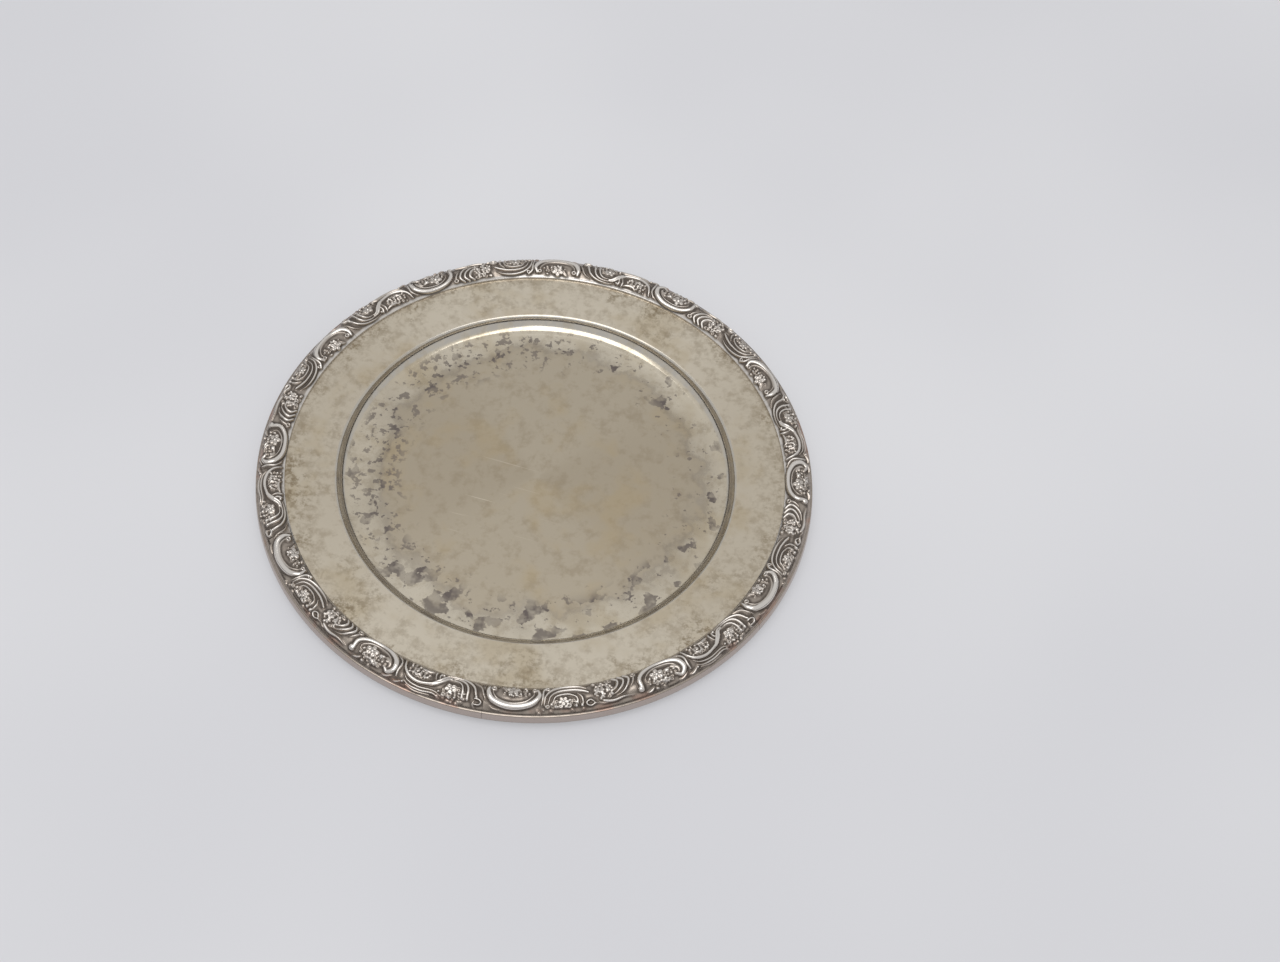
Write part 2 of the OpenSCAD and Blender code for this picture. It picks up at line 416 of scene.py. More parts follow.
class Bender:
    """The Geometry Nodes tree that bends a straight length round the tray's axis.

    The straight length runs along +X, its radius is its Y and its height its Z.
    """

    def __init__(self) -> None:
        """Build the tree with its named inputs."""
        self.tree = bpy.data.node_groups.new("bend_round_the_axis", "GeometryNodeTree")
        face = self.tree.interface
        face.new_socket("Geometry", in_out="INPUT", socket_type="NodeSocketGeometry")
        face.new_socket("Start Angle", in_out="INPUT", socket_type="NodeSocketFloat")
        face.new_socket("Angle per Metre", in_out="INPUT", socket_type="NodeSocketFloat")
        face.new_socket("Weld Distance", in_out="INPUT", socket_type="NodeSocketFloat")
        face.new_socket("Finish", in_out="INPUT", socket_type="NodeSocketMaterial")
        face.new_socket("Geometry", in_out="OUTPUT", socket_type="NodeSocketGeometry")
        bench = Bench(self.tree)
        given = self.tree.nodes.new("NodeGroupInput")
        inputs = {s.name: Signal(bench, s) for s in given.outputs if s.name}
        place = bench.add("GeometryNodeInputPosition")
        axes = bench.add("ShaderNodeSeparateXYZ", None, {"Vector": place})
        along, out, up = (Signal(bench, s) for s in axes.socket.node.outputs)
        angle = inputs["Start Angle"] + along * inputs["Angle per Metre"]
        bent = bench.add("ShaderNodeCombineXYZ", None, {"X": out * angle.cos(), "Y": out * angle.sin(), "Z": up})
        moved = bench.add("GeometryNodeSetPosition", None, {"Geometry": inputs["Geometry"], "Position": bent})
        welded = bench.add("GeometryNodeMergeByDistance", None, {"Geometry": moved, "Distance": inputs["Weld Distance"]})
        real = bench.add("GeometryNodeRealizeInstances", None, {"Geometry": welded})
        dressed = bench.add("GeometryNodeSetMaterial", None, {"Geometry": real, "Material": inputs["Finish"]})
        bench.add("NodeGroupOutput", None, {"Geometry": dressed})
        self.keys = {s.name: s.identifier for s in face.items_tree if s.in_out == "INPUT"}

    def bend(
        self, name: str, straight: bpy.types.Mesh, start: float, per_metre: float, finish: bpy.types.Material
    ) -> bpy.types.Object:
        """Bend a straight mesh and keep the result as a plain mesh.

        Args:
            name: Name of the finished piece.
            straight: The straight mesh.
            start: Angle in radians where its start comes.
            per_metre: Angle in radians that each metre along it takes.
            finish: Its material.

        Returns:
            The finished piece, linked to the scene.
        """
        maker = bpy.data.objects.new("straight_length", straight)
        bpy.context.scene.collection.objects.link(maker)
        modifier = maker.modifiers.new("bend", "NODES")
        modifier.node_group = self.tree
        given = {"Start Angle": start, "Angle per Metre": per_metre, "Weld Distance": 2e-6, "Finish": finish}
        for key, value in given.items():
            modifier[self.keys[key]] = value
        bpy.context.view_layer.update()
        graph = bpy.context.evaluated_depsgraph_get()
        mesh = bpy.data.meshes.new_from_object(maker.evaluated_get(graph))
        bpy.data.objects.remove(maker)
        mesh.name = name
        piece = bpy.data.objects.new(name, mesh)
        bpy.context.scene.collection.objects.link(piece)
        return piece


def straight_mesh(
    name: str, stations: np.ndarray, rings: np.ndarray, closed_ends: bool, marks: Optional[dict[str, np.ndarray]] = None
) -> bpy.types.Mesh:
    """Build the mesh of a straight length from its sections.

    Args:
        name: Name of the mesh.
        stations: Place of each section along the length, in millimetres.
        rings: For each section its closed ring of radius and height, in millimetres.
        closed_ends: Whether the two ends get a face.
        marks: Numbers kept at each point of the rings, by name.

    Returns:
        The mesh, in metres.
    """
    count, size = rings.shape[:2]
    points = np.empty((count, size, 3))
    points[:, :, 0] = stations[:, None]
    points[:, :, 1:] = rings
    here = np.arange(count - 1)[:, None] * size
    across = np.arange(size)[None, :]
    after = (across + 1) % size
    quads = np.stack([here + across, here + after, here + size + after, here + size + across], axis=2)
    faces = quads.reshape(-1, 4).tolist()
    if closed_ends:
        faces.append(list(range(size - 1, -1, -1)))
        faces.append([(count - 1) * size + k for k in range(size)])
    mesh = bpy.data.meshes.new(name)
    mesh.from_pydata((points.reshape(-1, 3) * MM).tolist(), [], faces)
    for key, values in (marks or {}).items():
        layer = mesh.attributes.new(key, "FLOAT", "POINT")
        layer.data.foreach_set("value", values.reshape(-1).astype(np.float32))
    mesh.polygons.foreach_set("use_smooth", np.ones(len(mesh.polygons), bool))
    mesh.update()
    return mesh


# ---- Ornament


class Crown(Enum):
    """How an ornament's surface runs from its middle to its sides."""

    ROUND = "round"
    SHARP = "sharp"
    FLUTED = "fluted"
    CUPPED = "cupped"

    def height(self, d: np.ndarray) -> np.ndarray:
        """Return the share of full height at distance d from the middle, where 1 is the side."""
        inside = np.clip(1 - d * d, 0, 1)
        if self is Crown.SHARP:
            return np.clip(1 - d, 0, 1) ** 0.8
        if self is Crown.FLUTED:
            return np.sqrt(inside) * (1 - 0.35 * np.exp(-((d / 0.3) ** 2)))
        if self is Crown.CUPPED:
            return np.sqrt(inside) * (1 - 0.75 * np.exp(-((d / 0.45) ** 4)))
        return np.sqrt(inside)


@dataclass(frozen=True)
class Stroke:
    """A raised line through points of the pattern sheet."""

    path: tuple[Point, ...]
    width: float
    height: float = 0.8
    tail: float = 0.4
    head: float = 0.4
    belly: float = 0.5
    crown: Crown = Crown.ROUND


@dataclass(frozen=True)
class Bead:
    """A raised boss, round or long."""

    at: Point
    width: float
    height: float = 0.8
    long: float = 1.0
    turn: float = 0.0
    crown: Crown = Crown.ROUND


@dataclass(frozen=True)
class Flower:
    """Petals round a bud."""

    at: Point
    radius: float
    height: float = 0.8
    petals: int = 5
    turn: float = 18.0
    ring: bool = False


@dataclass(frozen=True)
class Cluster:
    """Small buds packed close in an oval."""

    at: Point
    reach: Point
    seed: int
    height: float = 0.62
    spacing: float = 1.3

    def buds(self) -> list[Bead]:
        """Return the buds, each a little off its place and of its own size."""
        chance = np.random.default_rng(self.seed)
        buds = []
        rows = int(self.reach[1] / (0.8 * self.spacing))
        for row in range(-rows, rows + 1):
            across = self.reach[0] * math.sqrt(max(0.0, 1 - (row / (rows + 0.5)) ** 2))
            count = max(1, round(2 * across / self.spacing))
            for k in range(count):
                u = self.at[0] + (k + 0.5 - count / 2) * self.spacing + chance.normal(0, 0.16)
                v = self.at[1] + row * 0.8 * self.spacing + chance.normal(0, 0.14)
                width = self.spacing * chance.uniform(0.72, 1.05)
                crown = Crown.CUPPED if chance.random() < 0.4 else Crown.ROUND
                height = self.height * chance.uniform(0.75, 1.1)
                buds.append(Bead((u, v), width, height, chance.uniform(1, 1.4), chance.uniform(0, 180), crown))
        return buds


Ornament = Union[Stroke, Bead, Flower, Cluster]


class ReliefSheet:
    """The height of one stamped length's ornament over its pattern sheet."""

    def __init__(self, sizes: TraySizes, columns: int, rows: int) -> None:
        """Lay out a bare sheet with this many steps along and across."""
        self.sizes = sizes
        self.u = np.linspace(0, sizes.sheet_u, columns + 1)
        self.v = np.linspace(0, sizes.section_len / sizes.v_len, rows + 1)
        self.height = np.zeros((columns + 1, rows + 1))
        self.height -= 0.12

    @staticmethod
    def _placed(at: Point) -> Point:
        """Return a point of the pattern where it lands on the sheet, clear of the inner edge."""
        return (at[0], 0.6 + 0.95 * at[1])

    def _window(self, low: np.ndarray, high: np.ndarray) -> tuple[slice, slice]:
        """Return the rows and columns between two corners."""
        u0, u1 = np.searchsorted(self.u, [low[0], high[0]])
        v0, v1 = np.searchsorted(self.v, [low[1], high[1]])
        return slice(u0, u1), slice(v0, v1)

    def _raise(self, window: tuple[slice, slice], height: np.ndarray) -> None:
        """Lift the sheet in a window to at least this height."""
        self.height[window] = np.maximum(self.height[window], height)

    @staticmethod
    def _curve(path: Sequence[Point], count: int) -> np.ndarray:
        """Return count points of a smooth curve through the path."""
        p = np.array(path, float)
        t = np.linspace(0, len(p) - 1, count)
        i = np.minimum(t.astype(int), len(p) - 2)
        f = (t - i)[:, None]
        b, c = p[i], p[i + 1]
        a = np.where(i[:, None] > 0, p[np.maximum(i - 1, 0)], 2 * b - c)
        d = np.where(i[:, None] + 2 < len(p), p[np.minimum(i + 2, len(p) - 1)], 2 * c - b)
        return b + 0.5 * f * (c - a + f * (2 * a - 5 * b + 4 * c - d + f * (3 * (b - c) + d - a)))

    def stroke(self, s: Stroke) -> None:
        """Raise one stroke."""
        length = sum(math.dist(a, b) for a, b in zip(s.path, s.path[1:]))
        count = max(8, int(length / 0.12))
        line = self._curve([self._placed(p) for p in s.path], count)
        t = np.linspace(0, 1, count)
        up = s.tail + (1 - s.tail) * np.sin(np.pi / 2 * np.clip(t / s.belly, 0, 1))
        down = s.head + (1 - s.head) * np.sin(np.pi / 2 * np.clip((1 - t) / (1 - s.belly), 0, 1))
        half = s.width * 0.58 * np.where(t < s.belly, up, down)
        for shift in (-self.sizes.sheet_u, 0, self.sizes.sheet_u):
            moved = line + [shift, 0]
            window = self._window(moved.min(0) - s.width, moved.max(0) + s.width)
            u, v = self.u[window[0]], self.v[window[1]]
            if not len(u) or not len(v):
                continue
            best = np.full((len(u), len(v)), 9.0)
            size = np.ones_like(best)
            for (cu, cv), h in zip(moved, half):
                far = np.hypot(u[:, None] - cu, v[None, :] - cv) / h
                closer = far < best
                best = np.where(closer, far, best)
                size = np.where(closer, h, size)
            lift = s.height * np.sqrt(size / half.max()) * s.crown.height(best)
            self._raise(window, np.where(best < 1, lift - 0.12 * (1 - np.sqrt(np.clip(1 - best**2, 0, 1))), -1))

    def bead(self, b: Bead) -> None:
        """Raise one bead."""
        a = math.radians(b.turn)
        for shift in (-self.sizes.sheet_u, 0, self.sizes.sheet_u):
            centre = np.array(self._placed(b.at)) + [shift, 0]
            reach = b.width / 2 * max(b.long, 1)
            window = self._window(centre - reach, centre + reach)
            du = self.u[window[0]][:, None] - centre[0]
            dv = self.v[window[1]][None, :] - centre[1]
            x = (du * math.cos(a) + dv * math.sin(a)) / (b.width / 2 * b.long)
            y = (dv * math.cos(a) - du * math.sin(a)) / (b.width / 2)
            far = np.hypot(x, y)
            self._raise(window, np.where(far < 1, b.height * b.crown.height(far), -1))

    def flower(self, f: Flower) -> None:
        """Raise one flower."""
        for k in range(f.petals):
            a = f.turn + 360 * k / f.petals
            reach = 0.58 * f.radius
            at = (f.at[0] + reach * math.cos(math.radians(a)), f.at[1] + reach * math.sin(math.radians(a)))
            crown = Crown.FLUTED
            self.bead(Bead(at, 0.78 * f.radius, f.height * 0.85, 1.12, a, crown))
        self.bead(Bead(f.at, 0.62 * f.radius, f.height, 1, 0, Crown.CUPPED if f.ring else Crown.ROUND))

    def stamp(self, ornaments: Iterable[Ornament]) -> None:
        """Raise a list of ornaments."""
        for ornament in ornaments:
            if isinstance(ornament, Stroke):
                self.stroke(ornament)
            elif isinstance(ornament, Bead):
                self.bead(ornament)
            elif isinstance(ornament, Cluster):
                self.stamp(ornament.buds())
            else:
                self.flower(ornament)

    def soften(self, passes: int = 1) -> None:
        """Take the hardness off every edge, as a worn stamping has it."""
        for _ in range(passes):
            h = np.pad(self.height, 1, mode="edge")
            self.height = (h[1:-1, 1:-1] * 4 + h[:-2, 1:-1] + h[2:, 1:-1] + h[1:-1, :-2] + h[1:-1, 2:]) / 8

    def _wide(self, reach: int) -> np.ndarray:
        """Return the mean height round each point, over a square of this reach."""
        wide = self.height.copy()
        for axis in (0, 1):
            total = np.cumsum(np.concatenate([np.repeat(np.take(wide, [0], axis), reach + 1, axis), wide,
                                              np.repeat(np.take(wide, [-1], axis), reach, axis)], axis), axis)
            size = wide.shape[axis]
            wide = (np.take(total, range(2 * reach + 1, 2 * reach + 1 + size), axis)
                    - np.take(total, range(size), axis)) / (2 * reach + 1)
        return wide

    def swell(self, share: float, reach: int) -> None:
        """Fill the ground between close ornaments, as a stamping does.

        Args:
            share: How much of the mean height round it the ground takes.
            reach: How far that mean reaches, in steps.
        """
        self.height = np.maximum(self.height, share * self._wide(reach))

    def hollow(self, reach: int = 7) -> np.ndarray:
        """Return how far each point lies below its surroundings, from -1 to 1."""
        return np.clip((self._wide(reach) - self.height) / 0.4, -1, 1)


R, S, F = Crown.ROUND, Crown.SHARP, Crown.FLUTED

CRESCENT: tuple[Ornament, ...] = (
    Stroke(((1.2, 1.6), (1.1, 4.4), (3, 7.6), (8.4, 9.4), (14.4, 8.2), (17.4, 5), (17, 1.8)), 2.3, 1.0, 0.5, 0.45, 0.5),
    Stroke(((2.6, 2.2), (2.6, 4.4), (4.4, 6.9), (8.6, 8.1), (13.2, 7.1), (15.6, 4.6), (15.6, 2.6)), 0.8, 0.55, 0.5, 0.5),
    Cluster((10.2, 3.9), (4.4, 2.0), 11),
    Bead((2.7, 2.6), 2.2, 0.9, 1, 0, Crown.CUPPED),
    Bead((16.0, 2.4), 1.9, 0.9, 1, 0, Crown.CUPPED),
    Flower((9.0, 2.6), 2.5, 0.85, 5, 54, True),
    Bead((7.9, 4.9), 1.1, 0.8, 1.3, 110),
    Bead((9.1, 5.3), 0.9, 0.85, 1.4, 90),
    Bead((11.5, 4.3), 1.0, 0.8, 1.5, 60),
    Stroke(((5.2, 0.8), (6.2, 1.6), (6.8, 3.0)), 1.3, 0.6, 0.5, 0.7, 0.4, F),
    Bead((13.4, 2.7), 1.1, 0.9),
    Bead((13.0, 1.2), 1.2, 0.6, 1.3, 20),
    Stroke(((2, 10.2), (3.4, 10.9), (5.2, 11.3)), 0.7, 0.5),
    Bead((17.3, 11.7), 1.0, 0.45),
    Stroke(((18, 8.8), (18.6, 5.4), (19, 2.6), (20.4, 1)), 1.0, 0.8, 0.4, 0.9, 0.8),
    Bead((20.4, 1.9), 1.7, 0.9, 1, 0, Crown.CUPPED),
)

ARCHES: tuple[Ornament, ...] = (
    Stroke(((18.9, 8.6), (19.6, 5.0), (22, 2.3), (25.8, 1.2), (29.8, 1.5), (32.8, 2.8)), 1.0, 0.85, 0.5, 0.3),
    Stroke(((20.1, 8.2), (21.2, 5), (24.0, 3.3), (28, 3.1), (31, 3.9), (33.2, 5.0)), 1.0, 0.9, 0.4, 0.8, 0.8),
    Stroke(((21.6, 7.8), (22.6, 5.6), (24.8, 4.8), (27.2, 4.9), (29.4, 6.2)), 0.8, 0.75, 0.5, 0.6),
    Stroke(((27.9, 4.9), (29.3, 6.4), (29.5, 8.6)), 0.8, 0.65, 0.5, 0.8, 0.7),
    Stroke(((29.6, 4.6), (30.9, 6.4), (31.1, 8.9)), 0.8, 0.7, 0.5, 0.8, 0.7),
    Cluster((25.0, 8.4), (4.8, 2.0), 12),
    Flower((25.0, 7.3), 1.9, 0.85, 5, 90),
    Bead((19.9, 9.2), 1.5, 0.9, 1.2, 0, Crown.CUPPED),
    Bead((22.3, 9.3), 1.0, 0.85, 1.3, 80),
    Bead((24.1, 9.3), 1.5, 0.9, 1.1, 20, Crown.CUPPED),
    Bead((26.6, 9.2), 1.9, 0.85, 1.1, 0, Crown.CUPPED),
    Bead((28.9, 9.4), 1.1, 0.9, 1.2, 80),
    Bead((30.7, 9.4), 1.2, 0.95, 1.3, 90),
    Stroke(((34.6, 9.0), (33.6, 8.0), (32.4, 8.4), (32.2, 9.4), (33.4, 10.1), (34.8, 9.5), (35.8, 9.6)), 0.7, 0.9, 0.8, 0.5),
    Bead((16.7, 11), 0.8, 0.5),
    Bead((18.6, 10.5), 0.9, 0.5),
    Bead((21, 11), 0.9, 0.4, 1.4, 20),
    Bead((27.6, 11.1), 0.9, 0.4, 1.4, 60),
    Bead((31, 11), 0.8, 0.4, 1.4, 120),
)

RIBS: tuple[Ornament, ...] = (
    Cluster((38.0, 5.0), (3.3, 3.6), 13),
    Bead((35.3, 1.5), 1.4, 0.7, 1.3, 30, F),
    Bead((37.8, 2.4), 1.6, 0.85, 1, 0, Crown.CUPPED),
    Bead((40.4, 1.6), 1.7, 0.65, 1.5, 10, Crown.CUPPED),
    Stroke(((36.6, 3), (36.3, 4.6), (35.4, 6.2)), 1.1, 0.75, 0.6, 0.8, 0.7, F),
    Stroke(((37.8, 3.2), (37.6, 5), (37.6, 7)), 1.0, 0.8, 0.6, 0.8, 0.7, F),
    Stroke(((39, 3), (39.7, 4.6), (40.2, 6)), 1.0, 0.75, 0.6, 0.8, 0.7, F),
    Bead((35.1, 6.3), 0.9, 0.8, 1.3, 100),
    Bead((36.8, 5.7), 1.0, 0.75, 1.4, 70),
    Bead((37.7, 7.4), 0.9, 0.85),
    Bead((40.0, 5.8), 1.1, 0.9),
    Bead((40.6, 7.3), 1.1, 0.75, 1.4, 30),
    Stroke(((41.8, 0.7), (43.3, 2.6), (42.7, 4.8), (40.8, 6.4), (39.4, 7.4)), 1.1, 0.8, 0.8, 0.2, 0.25),
    Stroke(((43.8, 0.7), (45.3, 2.6), (44.7, 4.8), (42.6, 6.9), (40.4, 8.1)), 1.1, 0.85, 0.8, 0.2, 0.25),
    Stroke(((45.8, 0.7), (47.2, 2.6), (46.6, 4.8), (44.6, 7.3), (42, 8.6)), 1.1, 0.85, 0.8, 0.2, 0.25),
    Stroke(((42.8, 2.4), (42.4, 4.2), (41.2, 5.4)), 0.5, 0.4),
    Bead((49, 1.9), 2.1, 0.75, 1.15, 0, Crown.CUPPED),
    Stroke(((49, 2.8), (48.4, 4.4), (47.2, 6.4)), 0.9, 0.6, 0.8, 0.4, 0.3),
    Stroke(((37.6, 9.2), (39.4, 9.8), (41.2, 9.9), (44.4, 9.4), (47.6, 10)), 1.1, 0.8, 0.9, 0.3, 0.3),
    Stroke(((36.2, 9.6), (37.4, 10.2), (38.8, 10.4)), 0.6, 0.5),
    Bead((50.0, 8.9), 2.3, 1.0, 1.1, 60),
)

ARCH: tuple[Ornament, ...] = (
    Stroke(((50.4, 9), (50.4, 5), (53, 2.2), (57.2, 1.1), (61.8, 1.6), (65, 4), (65.8, 7.4), (64.2, 9.6), (62.8, 8.6)), 2.0, 1.0, 0.7, 0.5, 0.6),
    Stroke(((52.4, 7.4), (52.4, 5.4), (54.4, 3.4), (57.2, 2.6), (61, 3.1), (63.4, 4.8), (64, 7)), 0.7, 0.6, 0.4, 0.4),
    Stroke(((62.1, 4.9), (63.6, 6), (64.0, 7.4), (63.4, 8.6)), 1.4, 0.5, 0.9, 0.4, 0.3),
    Cluster((58.0, 7.4), (5.4, 3.0), 14),
    Bead((60.0, 5.6), 1.9, 0.85),
    Bead((60.4, 6.0), 0.8, 0.95),
    Flower((56.4, 5.6), 2.6, 0.85, 5, 54),
    Bead((53.6, 6.4), 1.0, 0.7, 1.8, 110),
    Bead((54.6, 7.9), 1.0, 0.75, 1.3, 70),
    Bead((56.2, 8.6), 1.0, 0.7, 1.4, 20),
    Bead((58.2, 9.0), 1.9, 0.7, 1.2, 30, F),
    Stroke(((57.2, 8.4), (58.4, 9.2), (59.4, 10.2)), 0.5, 0.9),
    Stroke(((58.2, 7.9), (59.4, 8.7), (60.4, 9.8)), 0.5, 0.85),
    Bead((55.1, 10.8), 1.1, 0.7, 1.3, 20),
    Bead((57.6, 11.2), 1.0, 0.45, 1.4, 60),
    Stroke(((51.6, 11.2), (53.0, 10.8), (54.2, 9.8)), 0.9, 0.75),
    Stroke(((62.8, 11.4), (64.2, 11.2), (66.0, 10.0)), 0.9, 0.7),
    Stroke(((66.8, 11.6), (68, 11.4), (69.6, 10.2)), 0.9, 0.7),
    Stroke(((65.6, 1.2), (67.2, 4), (67.2, 7.4), (67.4, 9.4)), 0.9, 0.75, 0.5, 0.8),
    Stroke(((64.2, 0.7), (66.0, 2.2), (66.8, 3.6)), 0.7, 0.5),
)

RIDGES: tuple[Ornament, ...] = (
    Stroke(((67.6, 1), (68.8, 4.6), (71, 7), (74.6, 8), (78.6, 7), (82, 4.8)), 1.3, 0.95, 0.5, 0.5),
    Stroke(((69.4, 7.2), (71.4, 9), (75, 9.8), (80, 9.3), (82.6, 10.6)), 0.8, 0.7),
    Stroke(((70, 9.4), (72.2, 10.6), (76, 10.9), (80, 10.3), (82.2, 11.6)), 0.8, 0.75),
    Stroke(((71, 11), (74.4, 12), (79, 11.6)), 0.7, 0.5),
    Stroke(((76.4, 8.0), (79.2, 6.9), (81.4, 4.9), (83.0, 3.0), (84.4, 2.4)), 1.9, 0.95, 0.4, 0.7, 0.6, F),
    Cluster((73.8, 4.2), (4.2, 2.6), 15),
    Bead((69.8, 10.2), 1.0, 0.85),
    Bead((70.6, 2.8), 1.1, 0.9, 1.2, 60),
    Bead((70.2, 1.2), 0.8, 0.6, 1.5, 60),
    Bead((71.8, 1.3), 0.8, 0.6, 1.5, 60),
    Stroke(((71.8, 3), (72.2, 5), (73.0, 5.9)), 0.7, 0.75, 0.6, 0.9, 0.8),
    Stroke(((74.2, 3), (74.2, 4.6), (73.2, 5.9)), 0.7, 0.75, 0.6, 0.9, 0.8),
    Bead((73.1, 3.6), 1.4, 0.6, 1.3, 90),
    Stroke(((73.6, 1), (75, 2.4), (77.6, 2.2), (78.6, 1.6)), 1.0, 0.8, 0.4, 0.4, 0.5, F),
    Bead((76.2, 5.8), 1.0, 0.8, 1.4, 100),
    Stroke(((75, 2.6), (75.6, 4.4), (76.4, 6.2)), 0.6, 0.5),
    Stroke(((79.4, 0.9), (79.2, 3), (79.8, 5.4)), 0.9, 0.75, 0.7, 0.3, 0.3),
    Stroke(((81, 1.2), (80.6, 3), (81.0, 5)), 0.9, 0.75, 0.7, 0.3, 0.3),
    Bead((81.6, 2), 1.2, 0.85),
)

CLUSTER: tuple[Ornament, ...] = (
    Stroke(((82.4, 1.3), (85.8, 0.9), (89.6, 1.6), (92.4, 3.8), (93.6, 7.2)), 1.0, 0.8, 0.3, 0.9, 0.75),
    Stroke(((82.8, 2.3), (86.4, 1.9), (89.2, 2.8), (90.6, 5), (91.0, 8.8)), 1.0, 0.85, 0.3, 0.9, 0.75),
    Stroke(((83.2, 3.3), (86.4, 3.0), (88.2, 4), (89.0, 6), (89.2, 8.8)), 0.9, 0.8, 0.3, 0.9, 0.75),
    Stroke(((92.2, 1.2), (94.6, 3.0), (95.8, 6), (96.6, 8.2)), 0.8, 0.55),
    Bead((93.7, 7.4), 1.1, 0.95, 1.4, 70),
    Bead((91.0, 9.0), 1.2, 0.95, 1.3, 90),
    Bead((89.2, 9.0), 1.1, 0.9, 1.3, 90),
    Cluster((86.4, 8.6), (4.2, 3.2), 16),
    Flower((85.2, 6.6), 2.2, 0.85, 5, 18),
    Bead((81.7, 8.8), 1.1, 0.9),
    Bead((83.4, 9.4), 1.6, 0.85, 1.1, 0, Crown.CUPPED),
    Bead((85.2, 10), 1.0, 0.9, 1.2, 30),
    Bead((87.0, 9.6), 1.0, 0.9, 1.3, 150),
    Bead((81.6, 11), 1.0, 0.55, 1.4, 70),
    Bead((84.8, 11.6), 0.9, 0.5, 1.5, 80),
    Bead((88.4, 11), 0.9, 0.5, 1.4, 60),
    Stroke(((93.2, 8.2), (94.6, 8.3), (95.4, 9.2), (94.8, 10.2), (93.4, 10.3)), 0.7, 0.95, 0.8, 0.8),
    Stroke(((93.2, 9), (92.8, 10.4), (93.4, 11.8)), 0.7, 0.6),
)

PATTERN: tuple[Ornament, ...] = CRESCENT + ARCHES + RIBS + ARCH + RIDGES + CLUSTER


# ---- Finishes


def surface(bench: Bench, colour: Any, metallic: Value, roughness: Value, normal: Optional[Signal], **fixed: Any) -> None:
    """End a material in one shader.

    Args:
        bench: The material's tree.
        colour: Base colour.
        metallic: How much of it is bare metal.
        roughness: How rough it is.
        normal: Its bumped normal, if it has one.
        fixed: Values that are the same all over, by socket.
    """
    values = {"Base Color": colour, "Metallic": metallic, "Roughness": roughness}
    if normal is not None:
        values["Normal"] = normal
    values.update(fixed)
    shader = bench.add("ShaderNodeBsdfPrincipled", None, values)
    bench.add("ShaderNodeOutputMaterial", None, {"Surface": shader})


class Finish:
    """A surface finish that knows how to wire its own material."""

    name = "finish"

    def wire(self, bench: Bench, place: Signal) -> None:
        """Wire the material's nodes, with place in millimetres."""
        raise NotImplementedError

    def material(self) -> bpy.types.Material:
        """Return the material, which is made once."""
        made = bpy.data.materials.get(self.name)
        if made is None:
            made = bpy.data.materials.new(self.name)
            made.use_nodes = True
            made.node_tree.nodes.clear()
            bench = Bench(made.node_tree)
            object_place = bench.add("ShaderNodeTexCoord", None, None, "Object")
            self.wire(bench, bench.add("ShaderNodeVectorMath", {"operation": "SCALE"}, {0: object_place, "Scale": 1 / MM}))
        return made


